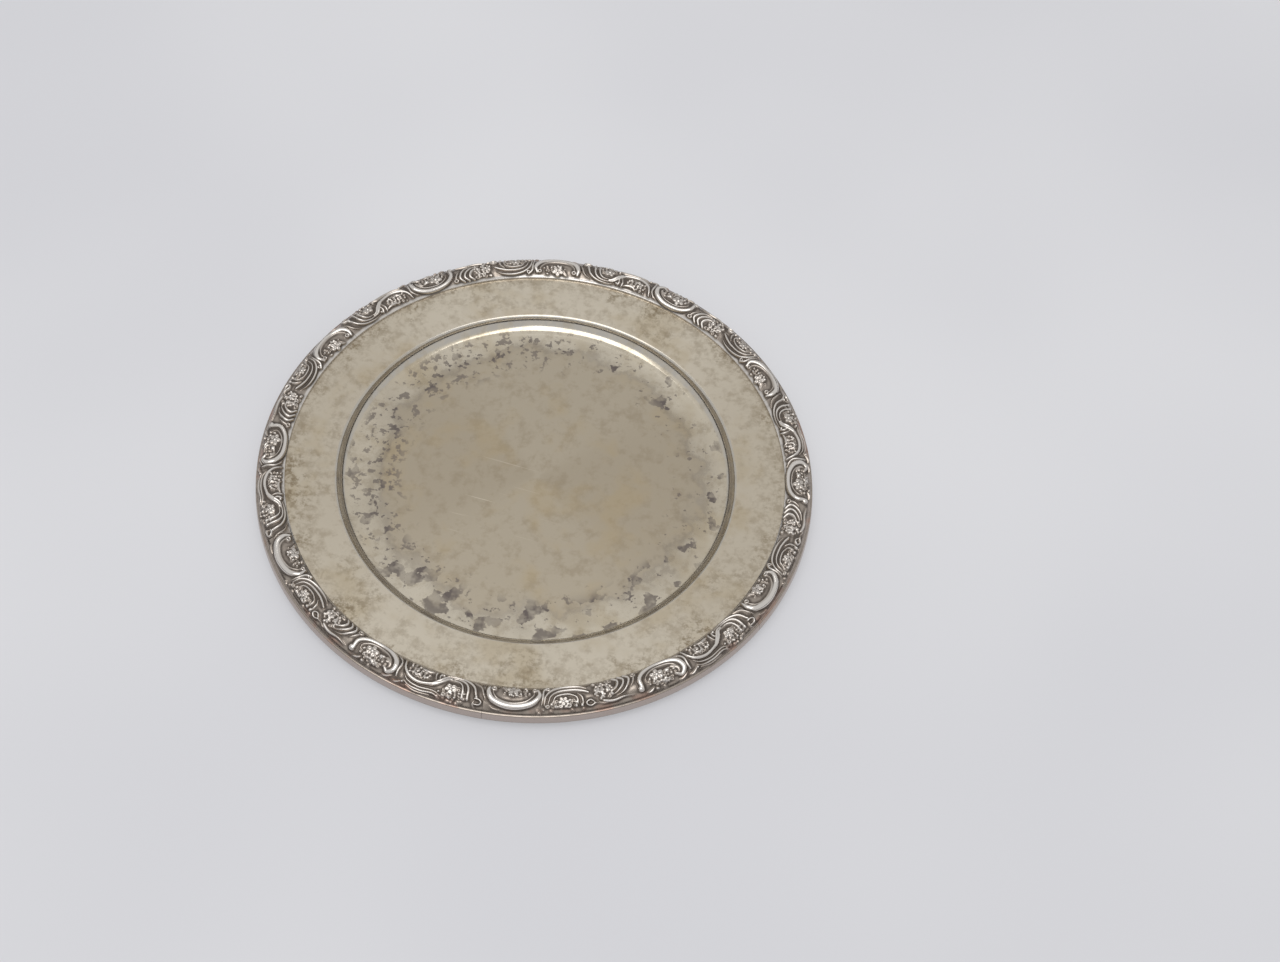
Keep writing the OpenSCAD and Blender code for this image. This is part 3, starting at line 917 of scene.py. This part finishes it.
@dataclass(frozen=True)
class PlateSilver(Finish):
    """Worn silver plate on the dish, with a film, dark bites and clean metal by the wall."""

    name: str = "plate_silver"
    clean: Colour = tint(224, 214, 195)
    wall: Colour = tint(196, 191, 183)
    film: Colour = tint(181, 170, 151)
    rim: Colour = tint(216, 206, 188)
    stain: Colour = tint(180, 160, 122)
    # Grime colour; also painted as shade on the dish's left and right sides
    grime: Colour = tint(148, 133, 110)
    bite: Colour = tint(104, 95, 90)

    def wire(self, bench: Bench, place: Signal) -> None:
        """Wire the zones from the middle of the well out to the border."""
        axes = bench.add("ShaderNodeSeparateXYZ", None, {"Vector": place})
        x, y, _ = (Signal(bench, s) for s in axes.socket.node.outputs)
        radius = (x * x + y * y) ** 0.5
        cloud = bench.noise(place, 26, 4, 0.6)
        mottle = bench.noise(place, 6, 6, 0.68)
        in_well = radius.rise(71.0, 69.5)
        on_rim = radius.rise(71.0, 72.5)
        ragged = radius + (cloud - 0.5) * 34 + (mottle - 0.5) * 16
        film = (ragged.rise(60, 55) * 0.7 + ragged.rise(68, 50) * 0.3) * in_well
        brink = film * (1.0 - film) * 4.0
        near = (y * -1 / 60).rise(0.1, 0.9)
        left = ((y * 0.5 - x) / 60).rise(-0.1, 0.8)
        colour = bench.blend(film, self.clean, self.film)
        colour = bench.blend(on_rim, colour, self.rim)
        # Painted shade: the dish grows darker towards its left and right sides, standing in for the dark room these
        # sides reflect
        painted_side_shade = (x * x / (radius * radius + 1.0)).rise(0.2, 0.9)
        colour = bench.blend(painted_side_shade * 0.22, colour, self.grime)
        colour = bench.blend((mottle - 0.46).rise(0, 0.22) * 0.45, colour, self.grime)
        wash = bench.noise(place, 22, 3, 0.6).rise(0.48, 0.68)
        colour = bench.blend(wash * 0.35, colour, self.stain)
        colour = bench.blend(self._rim_grime(bench, place, radius), colour, self.grime)
        bites = self._bites(bench, place, radius, near, left)
        colour = bench.blend((brink * 0.3 + bites * 0.8).clamp(), colour, self.bite)
        colour = bench.blend(self._wiped(bench, place, x, y) * 0.5, colour, self.clean)
        wall = radius.rise(68.6, 69.4) * radius.rise(72.4, 71.8)
        streak = bench.noise(place, 3, 3, 0.6).rise(0.4, 0.62)
        colour = bench.blend(wall * (0.9 - streak * 0.4), colour, self.wall)
        scratch = self._scratches(bench, place)
        rough = 0.2 + film * 0.22 + on_rim * 0.12 + bites * 0.15 + (mottle - 0.5) * 0.2 + scratch * 0.06 - wall * 0.06
        dished = (radius - 62.5).most(0.0) ** 2.0 * (radius.rise(68.0, 66.0) * 0.03)
        height = dished + mottle * 0.012 + bench.noise(place, 16, 1, 0.4) * 0.1 + scratch * 0.004
        bump = bench.add("ShaderNodeBump", None, {"Height": height, "Distance": MM, "Strength": 0.5})
        surface(bench, colour, 1.0 - film * 0.2 - bites * 0.4, rough.clamp(), bump)

    @staticmethod
    def _bites(bench: Bench, place: Signal, radius: Signal, near: Signal, left: Signal) -> Signal:
        """Return the dark bites in the plating, which lie in a ring inside the wall."""
        large = (bench.noise(place, 7.5, 4, 0.54) + near * 0.08 - 0.615).rise(0, 0.018)
        large = large * radius.rise(50, 57) * radius.rise(70, 67)
        small = (bench.noise(place, 2.8, 4, 0.6) + left * 0.08 - 0.635).rise(0, 0.03)
        small = small * radius.rise(45, 52) * radius.rise(69, 66)
        heart = (bench.noise(place, 5, 2, 0.5)).rise(0.42, 0.58) * 0.5 + 0.5
        return (large * heart).most(small * 0.85)

    @staticmethod
    def _rim_grime(bench: Bench, place: Signal, radius: Signal) -> Signal:
        """Return the brown grime on the rim, thickest beside the border."""
        fine = bench.noise(place, 2.6, 6, 0.72).rise(0.44, 0.62)
        patch = bench.noise(place, 20, 3, 0.6).rise(0.47, 0.62)
        beside = radius.rise(80, 89) * 0.5
        return (fine * (patch * 0.55 + beside) * radius.rise(72, 75)).clamp()

    @staticmethod
    def _wiped(bench: Bench, place: Signal, x: Signal, y: Signal) -> Signal:
        """Return the few pale scratches beside the middle of the well."""
        here = ((x + 12) * (x + 12) + (y + 14) * (y + 14)) ** 0.5
        lines = bench.noise(bench.mapped(place, 8.0, (0.03, 0.9, 1)), 1.0, 2, 0.5).rise(0.66, 0.70)
        return lines * here.rise(26, 10)

    @staticmethod
    def _scratches(bench: Bench, place: Signal) -> Signal:
        """Return fine wiping scratches in three directions."""
        total: Optional[Signal] = None
        for turn, low in ((18.0, 0.66), (-37.0, 0.68), (74.0, 0.69)):
            fine = bench.noise(bench.mapped(place, turn, (0.05, 2.2, 1)), 1.0, 2, 0.5)
            lines = fine.rise(low, low + 0.05)
            total = lines if total is None else total.most(lines)
        assert total is not None
        return total


@dataclass(frozen=True)
class BorderSilver(Finish):
    """Silver on the stamped border: bright on its high points, dark and coppery in its hollows. The dark of the hollows
    is partly tarnish and partly painted shade; the bright band along the inner edge and the pale mauve of the skirt are
    painted reflections.
    """

    name: str = "border_silver"
    # Colour of the worn high points and of the painted sheen along the inner edge
    bright: Colour = tint(226, 220, 213)
    dull: Colour = tint(172, 161, 150)
    # Colour of the hollows: tarnish, and painted shade
    dark: Colour = tint(66, 57, 50)
    copper: Colour = tint(184, 148, 132)
    # Painted reflection: the skirt gets its own paler mauve, standing in for the floor it reflects
    skirt: Colour = tint(190, 178, 170)

    def wire(self, bench: Bench, place: Signal) -> None:
        """Wire the finish from the ornament's own depth."""
        hollow = bench.add("ShaderNodeAttribute", {"attribute_name": "hollow"}, None, "Fac")
        height = bench.add("ShaderNodeAttribute", {"attribute_name": "relief_height"}, None, "Fac")
        down = bench.add("ShaderNodeAttribute", {"attribute_name": "sheet_v"}, None, "Fac")
        grime = bench.noise(place, 2.2, 4, 0.6)
        patch = bench.noise(place, 16, 3, 0.6)
        # Bright on worn high points, plus a painted reflection: the band along the inner edge is made bright all round
        wear_and_painted_sheen = (height + (grime - 0.5) * 0.4).rise(0.25, 0.85).most(down.rise(1.6, 0.8))
        # Hollows darkened: partly tarnish, partly painted shade standing in for occlusion and dark reflections in the
        # recesses
        tarnish_and_painted_shade = (hollow + (grime - 0.5) * 0.5).rise(-0.08, 0.42)
        low = down.rise(9.6, 11.4) * down.rise(13.6, 13.2)
        colour = bench.blend(wear_and_painted_sheen, self.dull, self.bright)
        colour = bench.blend(low * (1.0 - wear_and_painted_sheen) * patch.rise(0.5, 0.6) * 0.6, colour, self.copper)
        colour = bench.blend(tarnish_and_painted_shade * 0.82, colour, self.dark)
        # Painted reflection of the floor on the skirt
        on_skirt = down.rise(13.5, 13.9)
        colour = bench.blend(on_skirt, colour, self.skirt)
        colour = bench.blend(on_skirt * patch.rise(0.55, 0.7) * 0.3, colour, self.copper)
        rough = (0.2 - wear_and_painted_sheen * 0.06 + tarnish_and_painted_shade * 0.15 + (grime - 0.5) * 0.1).clamp()
        bump = bench.add("ShaderNodeBump", None, {"Height": grime * 0.03, "Distance": MM, "Strength": 0.5})
        surface(bench, colour, 1.0 - tarnish_and_painted_shade * 0.3, rough, bump)


@dataclass(frozen=True)
class WireSilver(Finish):
    """Silver on the plain wire at the border's foot."""

    name: str = "wire_silver"
    bright: Colour = tint(205, 198, 190)
    copper: Colour = tint(170, 135, 118)

    def wire(self, bench: Bench, place: Signal) -> None:
        """Wire the finish with rubbed patches that show copper."""
        rubbed = bench.noise(place, 9, 4, 0.6).rise(0.48, 0.66)
        grime = bench.noise(place, 2.5, 4, 0.6)
        colour = bench.blend(rubbed * 0.6, self.bright, self.copper)
        colour = bench.blend(grime.rise(0.5, 0.75) * 0.5, colour, tint(110, 98, 88))
        bump = bench.add("ShaderNodeBump", None, {"Height": grime * 0.03, "Distance": MM, "Strength": 0.5})
        surface(bench, colour, 1.0, (0.3 + (grime - 0.5) * 0.2).clamp(), bump)


@dataclass(frozen=True)
class SolderGrey(Finish):
    """Dull soft solder inside the border."""

    name: str = "solder_grey"
    grey: Colour = tint(150, 146, 140)

    def wire(self, bench: Bench, place: Signal) -> None:
        """Wire the finish with its lumpy skin."""
        lumps = bench.noise(place, 2.0, 4, 0.6)
        colour = bench.blend(lumps.rise(0.4, 0.7), self.grey, tint(112, 108, 104))
        bump = bench.add("ShaderNodeBump", None, {"Height": lumps * 0.1, "Distance": MM, "Strength": 0.6})
        surface(bench, colour, 0.9, (0.5 + (lumps - 0.5) * 0.2).clamp(), bump)


@dataclass(frozen=True)
class RoomDark(Finish):
    """The dark of the room round the table."""

    name: str = "room_dark"
    dark: Colour = tint(92, 86, 82)

    def wire(self, bench: Bench, place: Signal) -> None:
        """Wire a dim uneven surface."""
        cloud = bench.noise(place, 500, 2, 0.5)
        surface(bench, bench.blend(cloud.rise(0.3, 0.7), self.dark, tint(60, 56, 54)), 0.0, 0.9, None)


@dataclass(frozen=True)
class FloorPaper(Finish):
    """The pale matt paper that the tray lies on."""

    name: str = "floor_paper"
    pale: Colour = tint(222, 222, 225)
    shade: Colour = tint(214, 214, 218)

    def wire(self, bench: Bench, place: Signal) -> None:
        """Wire a barely uneven pale surface, half of whose look is its own colour."""
        colour = bench.blend(bench.noise(place, 300, 2, 0.5).rise(0.3, 0.7), self.pale, self.shade)
        matt = bench.add("ShaderNodeBsdfPrincipled", None, {"Base Color": colour, "Roughness": 0.9})
        glow = bench.add("ShaderNodeEmission", None, {"Color": colour})
        rays = bench.add("ShaderNodeLightPath", None, None, "Is Camera Ray").socket.node
        seen = Signal(bench, rays.outputs["Is Camera Ray"]).most(Signal(bench, rays.outputs["Is Glossy Ray"]))
        mixed = bench.add("ShaderNodeMixShader", None, {0: seen * 0.5, 1: matt, 2: glow})
        bench.add("ShaderNodeOutputMaterial", None, {"Surface": mixed})


# ---- Sub-assemblies


@dataclass
class Dish:
    """The spun sheet: well, wall, lip, broad rim and turned-down edge."""

    sizes: TraySizes
    bender: Bender
    finish: Finish = field(default_factory=PlateSilver)
    segments: int = 288

    def section(self) -> np.ndarray:
        """Return the closed ring of the sheet's section, from the axis out and back."""
        s = self.sizes
        run = s.well_depth / math.tan(math.radians(s.wall_slope))
        corners = [(0, s.sheet_t), (s.lip_ring_r - run, s.sheet_t), (s.lip_ring_r, s.sheet_t + s.well_depth),
                   (s.edge_r, s.rim_z(s.edge_r)), (s.edge_r, s.border_z)]
        radii = {1: s.cove_r, 2: s.lip_r, 3: s.edge_bend_r}
        top = [(0.0, s.sheet_t)] + rounded(corners, radii, 0) + [corners[-1]]
        under = [(0.0, 0.0)] + rounded(corners, radii, -s.sheet_t) + [(s.edge_r - s.sheet_t, s.border_z)]
        return np.array(fill_in(top, 4.5) + fill_in(under[::-1], 7.0))

    def build(self) -> bpy.types.Object:
        """Build, dress and seat the dish.

        Returns:
            The dish.
        """
        ring = self.section()
        stations = np.linspace(0, 1 / MM, self.segments + 1)
        rings = np.repeat(ring[None], len(stations), axis=0)
        mesh = straight_mesh("dish_line", stations, rings, False)
        piece = self.bender.bend("dish_sheet", mesh, 0.0, 2 * math.pi, self.finish.material())
        piece.data.set_sharp_from_angle(angle=math.radians(50))
        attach(piece, "root")
        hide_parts("dish")
        return piece


@dataclass
class EdgeWire:
    """The half-round wire at the border's foot."""

    sizes: TraySizes
    bender: Bender
    finish: Finish = field(default_factory=WireSilver)
    segments: int = 360

    def build(self) -> bpy.types.Object:
        """Build, dress and seat the wire.

        Returns:
            The wire.
        """
        s = self.sizes
        top = s.border_z - s.solder_gap
        middle = s.plate_r - s.wire_w / 2
        half = s.wire_w / 2 - s.inside
        ring = [(middle + half * math.cos(a), top + s.wire_h * math.sin(a))
                for a in np.linspace(2 * math.pi, math.pi, 19)]
        stations = np.linspace(0, 1 / MM, self.segments + 1)
        rings = np.repeat(np.array(ring)[None], len(stations), axis=0)
        mesh = straight_mesh("wire_line", stations, rings, False)
        piece = self.bender.bend("foot_wire", mesh, 0.0, 2 * math.pi, self.finish.material())
        piece.data.set_sharp_from_angle(angle=math.radians(50))
        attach(piece, "root")
        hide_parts("edge_wire")
        return piece


@dataclass
class Border:
    """The six stamped lengths of the scroll-and-flower border."""

    sizes: TraySizes
    bender: Bender
    finish: Finish = field(default_factory=BorderSilver)
    columns: int = 736
    rows: int = 126

    def straight(self) -> bpy.types.Mesh:
        """Return one stamped length before it is bent, with its ornament."""
        s = self.sizes
        sheet = ReliefSheet(s, self.columns, self.rows)
        sheet.stamp(PATTERN)
        sheet.swell(0.4, 5)
        sheet.soften(2)
        sheet.height = np.minimum(sheet.height * s.relief, s.relief - s.inside)
        angle = s.section_a - sheet.v * s.v_len / s.border_r
        band = np.clip(sheet.v / 0.5, 0, 1) * np.clip((s.sheet_v - sheet.v) / 0.5, 0, 1)
        line = s.line_h * np.exp(-(((sheet.v - s.sheet_v) / 0.32) ** 2)) - 0.03
        reach = s.border_r + sheet.height * band[None, :] + line[None, :]
        outer = np.stack([s.moulding_r + reach * np.cos(angle), s.border_z + reach * np.sin(angle)], axis=2)
        back = [(s.moulding_r + s.shell_r * math.cos(a), s.border_z + s.shell_r * math.sin(a))
                for a in np.linspace(0, s.foot_a, 6)]
        back += [(r, s.rim_z(r) + s.solder_gap) for r in (s.foot_r, s.border_in_r)]
        rings = np.concatenate([outer, np.repeat(np.array(back)[None], len(sheet.u), axis=0)], axis=1)
        blank = np.full((len(sheet.u), len(back)), 0.0)
        marks = {
            "hollow": np.concatenate([sheet.hollow(), blank], axis=1),
            "relief_height": np.concatenate([sheet.height, blank], axis=1),
            "sheet_v": np.concatenate([np.repeat(sheet.v[None], len(sheet.u), axis=0), blank], axis=1),
        }
        return straight_mesh("border_line", sheet.u, rings, True, marks)

    def build(self) -> list[bpy.types.Object]:
        """Build, dress and seat the six lengths.

        Returns:
            The lengths in order.
        """
        s = self.sizes
        line = self.straight()
        gap = s.joint_gap / s.plate_r
        per_metre = (s.strip_a - gap) / (s.sheet_u * MM)
        pieces = []
        for i in range(s.strips):
            start = math.radians(s.first_a) + i * s.strip_a + gap / 2
            piece = self.bender.bend(f"border_length_{i + 1}", line, start, per_metre, self.finish.material())
            piece.data.set_sharp_from_angle(angle=math.radians(75))
            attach(piece, "root")
            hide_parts(f"border_strip_{i + 1}")
            pieces.append(piece)
        return pieces


@dataclass
class SolderFills:
    """The soft solder inside the border, which keeps its CAD shape."""

    sizes: TraySizes
    nodes: dict[str, bpy.types.Object]
    finish: Finish = field(default_factory=SolderGrey)

    def dress(self) -> list[bpy.types.Object]:
        """Give each fill its finish.

        Returns:
            The fills in order.
        """
        fills = [self.nodes[f"solder_fill_{i + 1}"] for i in range(self.sizes.strips)]
        for fill in fills:
            fill.data.materials.clear()
            fill.data.materials.append(self.finish.material())
        return fills


# ---- Studio


@dataclass
class Studio:
    """The floor, the soft lights and the camera at the photograph's angle."""

    pitch: float = 55.2745
    roll: float = 6.6125
    yaw: float = 2.1
    place: tuple[float, float, float] = (37.2157, -338.8935, 494.09)
    focal_px: float = 1650.0
    picture: tuple[int, int] = (1280, 962)
    world: Colour = (0.985, 0.99, 1.0, 1.0)

    def camera(self) -> bpy.types.Object:
        """Set up the camera.

        Returns:
            The camera.
        """
        data = bpy.data.cameras.new("photo_camera")
        data.sensor_width = 36.0
        data.lens = self.focal_px * data.sensor_width / self.picture[0]
        data.clip_start, data.clip_end = 0.01, 20.0
        camera = bpy.data.objects.new("photo_camera", data)
        pitch, roll = math.radians(self.pitch), math.radians(self.roll)
        forward = Vector((0, math.cos(pitch), -math.sin(pitch)))
        right, up = Vector((1, 0, 0)), Vector((0, math.sin(pitch), math.cos(pitch)))
        right, up = math.cos(roll) * right + math.sin(roll) * up, math.cos(roll) * up - math.sin(roll) * right
        turn = Matrix((right, up, -forward)).transposed().to_4x4()
        walk = Matrix.Rotation(math.radians(self.yaw), 4, "Z")
        camera.matrix_world = walk @ Matrix.Translation(Vector(self.place) * MM) @ turn
        bpy.context.scene.collection.objects.link(camera)
        bpy.context.scene.camera = camera
        return camera

    def floor(self) -> bpy.types.Object:
        """Lay the pale floor just under the tray's resting face.

        Returns:
            The floor.
        """
        half = 3.0
        mesh = bpy.data.meshes.new("floor")
        corners = [(-half, -half, -2e-4), (half, -half, -2e-4), (half, half, -2e-4), (-half, half, -2e-4)]
        mesh.from_pydata(corners, [], [(0, 1, 2, 3)])
        mesh.materials.append(FloorPaper().material())
        floor = bpy.data.objects.new("floor", mesh)
        bpy.context.scene.collection.objects.link(floor)
        return floor

    def lamp(self, name: str, place: Sequence[float], size: float, power: float) -> bpy.types.Object:
        """Hang one square soft lamp that looks at the tray.

        Args:
            name: Its name.
            place: Where it hangs, in metres.
            size: The side of its square.
            power: Its power in watts.

        Returns:
            The lamp.
        """
        data = bpy.data.lights.new(name, "AREA")
        data.size, data.energy = size, power
        lamp = bpy.data.objects.new(name, data)
        lamp.matrix_world = Matrix.Translation(place) @ (-Vector(place)).to_track_quat("-Z", "Y").to_matrix().to_4x4()
        bpy.context.scene.collection.objects.link(lamp)
        return lamp

    def room_wall(self) -> None:
        """Stand a low dark wall round the tray, which only its reflections show."""
        count, reach, top = 48, 1.3, 0.26
        ring = [(reach * math.cos(2 * math.pi * k / count), reach * math.sin(2 * math.pi * k / count))
                for k in range(count)]
        points = [(x, y, z) for z in (0.0, top) for x, y in ring]
        faces = [(k, (k + 1) % count, count + (k + 1) % count, count + k) for k in range(count)]
        mesh = bpy.data.meshes.new("room_wall")
        mesh.from_pydata(points, [], faces)
        mesh.materials.append(RoomDark().material())
        wall = bpy.data.objects.new("room_wall", mesh)
        wall.visible_camera = False
        bpy.context.scene.collection.objects.link(wall)

    def light(self) -> None:
        """Light the tray with a pale room, one soft lamp and a low dark wall."""
        world = bpy.data.worlds.new("pale_room")
        bpy.context.scene.world = world
        world.use_nodes = True
        world.node_tree.nodes.clear()
        bench = Bench(world.node_tree)
        glow = bench.add("ShaderNodeBackground", None, {"Color": self.world, "Strength": 0.7})
        bench.add("ShaderNodeOutputWorld", None, {"Surface": glow})
        self.lamp("overhead_lamp", (-0.1, -0.25, 1.4), 1.1, 6.4)
        self.room_wall()
        bpy.context.scene.view_settings.view_transform = "Standard"


def main() -> None:
    """Build the tray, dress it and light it."""
    logging.basicConfig(level=logging.INFO, format="%(name)s: %(message)s")
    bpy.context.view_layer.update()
    sizes = TraySizes()
    studio = Studio()
    studio.camera()
    studio.floor()
    studio.light()
    bender = Bender()
    for assembly in (Dish(sizes, bender), EdgeWire(sizes, bender)):
        piece = assembly.build()
        LOG.info("%s: %d faces", piece.name, len(piece.data.polygons))
    for piece in Border(sizes, bender).build():
        LOG.info("%s: %d faces", piece.name, len(piece.data.polygons))
    for fill in SolderFills(sizes, frame["nodes"]).dress():
        LOG.info("%s dressed", fill.name)


if __name__ == "__main__":
    main()
